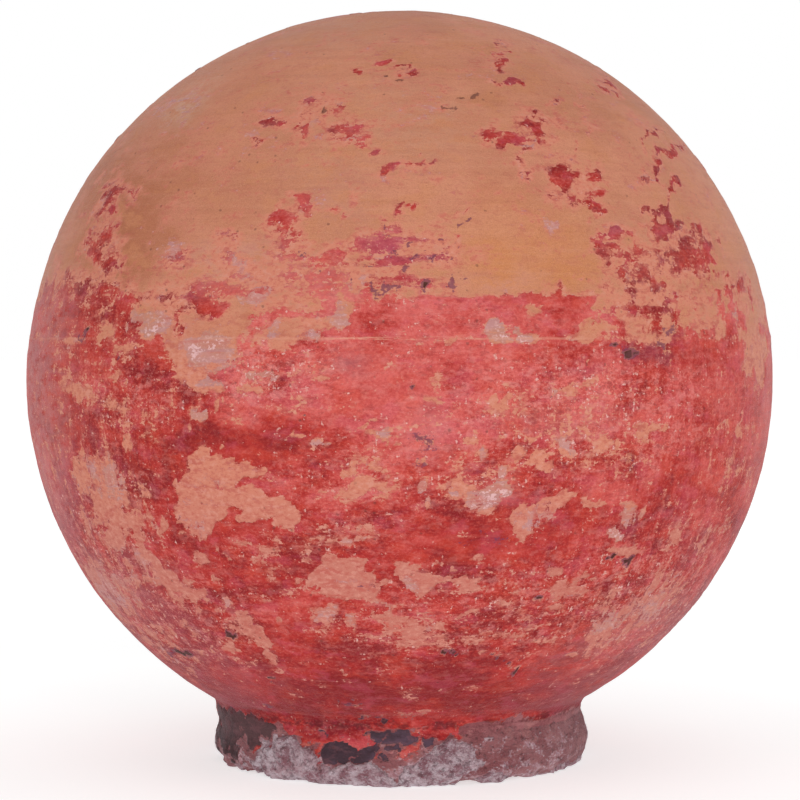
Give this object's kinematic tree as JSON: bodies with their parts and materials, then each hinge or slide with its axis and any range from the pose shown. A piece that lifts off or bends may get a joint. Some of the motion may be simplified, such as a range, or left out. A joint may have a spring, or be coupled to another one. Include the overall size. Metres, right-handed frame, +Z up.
{
  "type": "garden ball finial",
  "caption": "Hollow thrown terracotta ball on a short flared open collar, luted from separate clay pieces, with worn paint and mortar remains.",
  "frame": {"origin": "centre of the collar's underside, at the mouth of its socket", "axes": "+Z up the ball's throwing axis, -Y towards the front, +X to the right seen from the front"},
  "size_m": [0.3062, 0.3062, 0.3071],
  "materials": {
    "body_clay": "bare fired terracotta, matt, faint throwing lines",
    "joint_clay": "fired clay slip and coils, matt",
    "collar_clay": "weathered, stained terracotta, matt and chipped",
    "ground_paint": "chalky pale ground coat, matt",
    "red_paint": "weathered red paint, low sheen, worn and flaking",
    "dark_paint": "remains of an older dark coat, matt",
    "mortar": "grey-white bedding mortar, rough"
  },
  "bodies": {
    "root": {"upper_bowl": "body_clay", "lower_bowl": "body_clay", "seam_slip": "joint_clay", "seam_coil": "joint_clay", "collar": "collar_clay", "collar_slip": "joint_clay", "collar_fillet": "joint_clay", "neck_coil": "joint_clay", "ground_coat": "ground_paint", "red_coat": "red_paint", "dark_coat": "dark_paint", "mortar_crust": "mortar"}
  },
  "joints": []
}
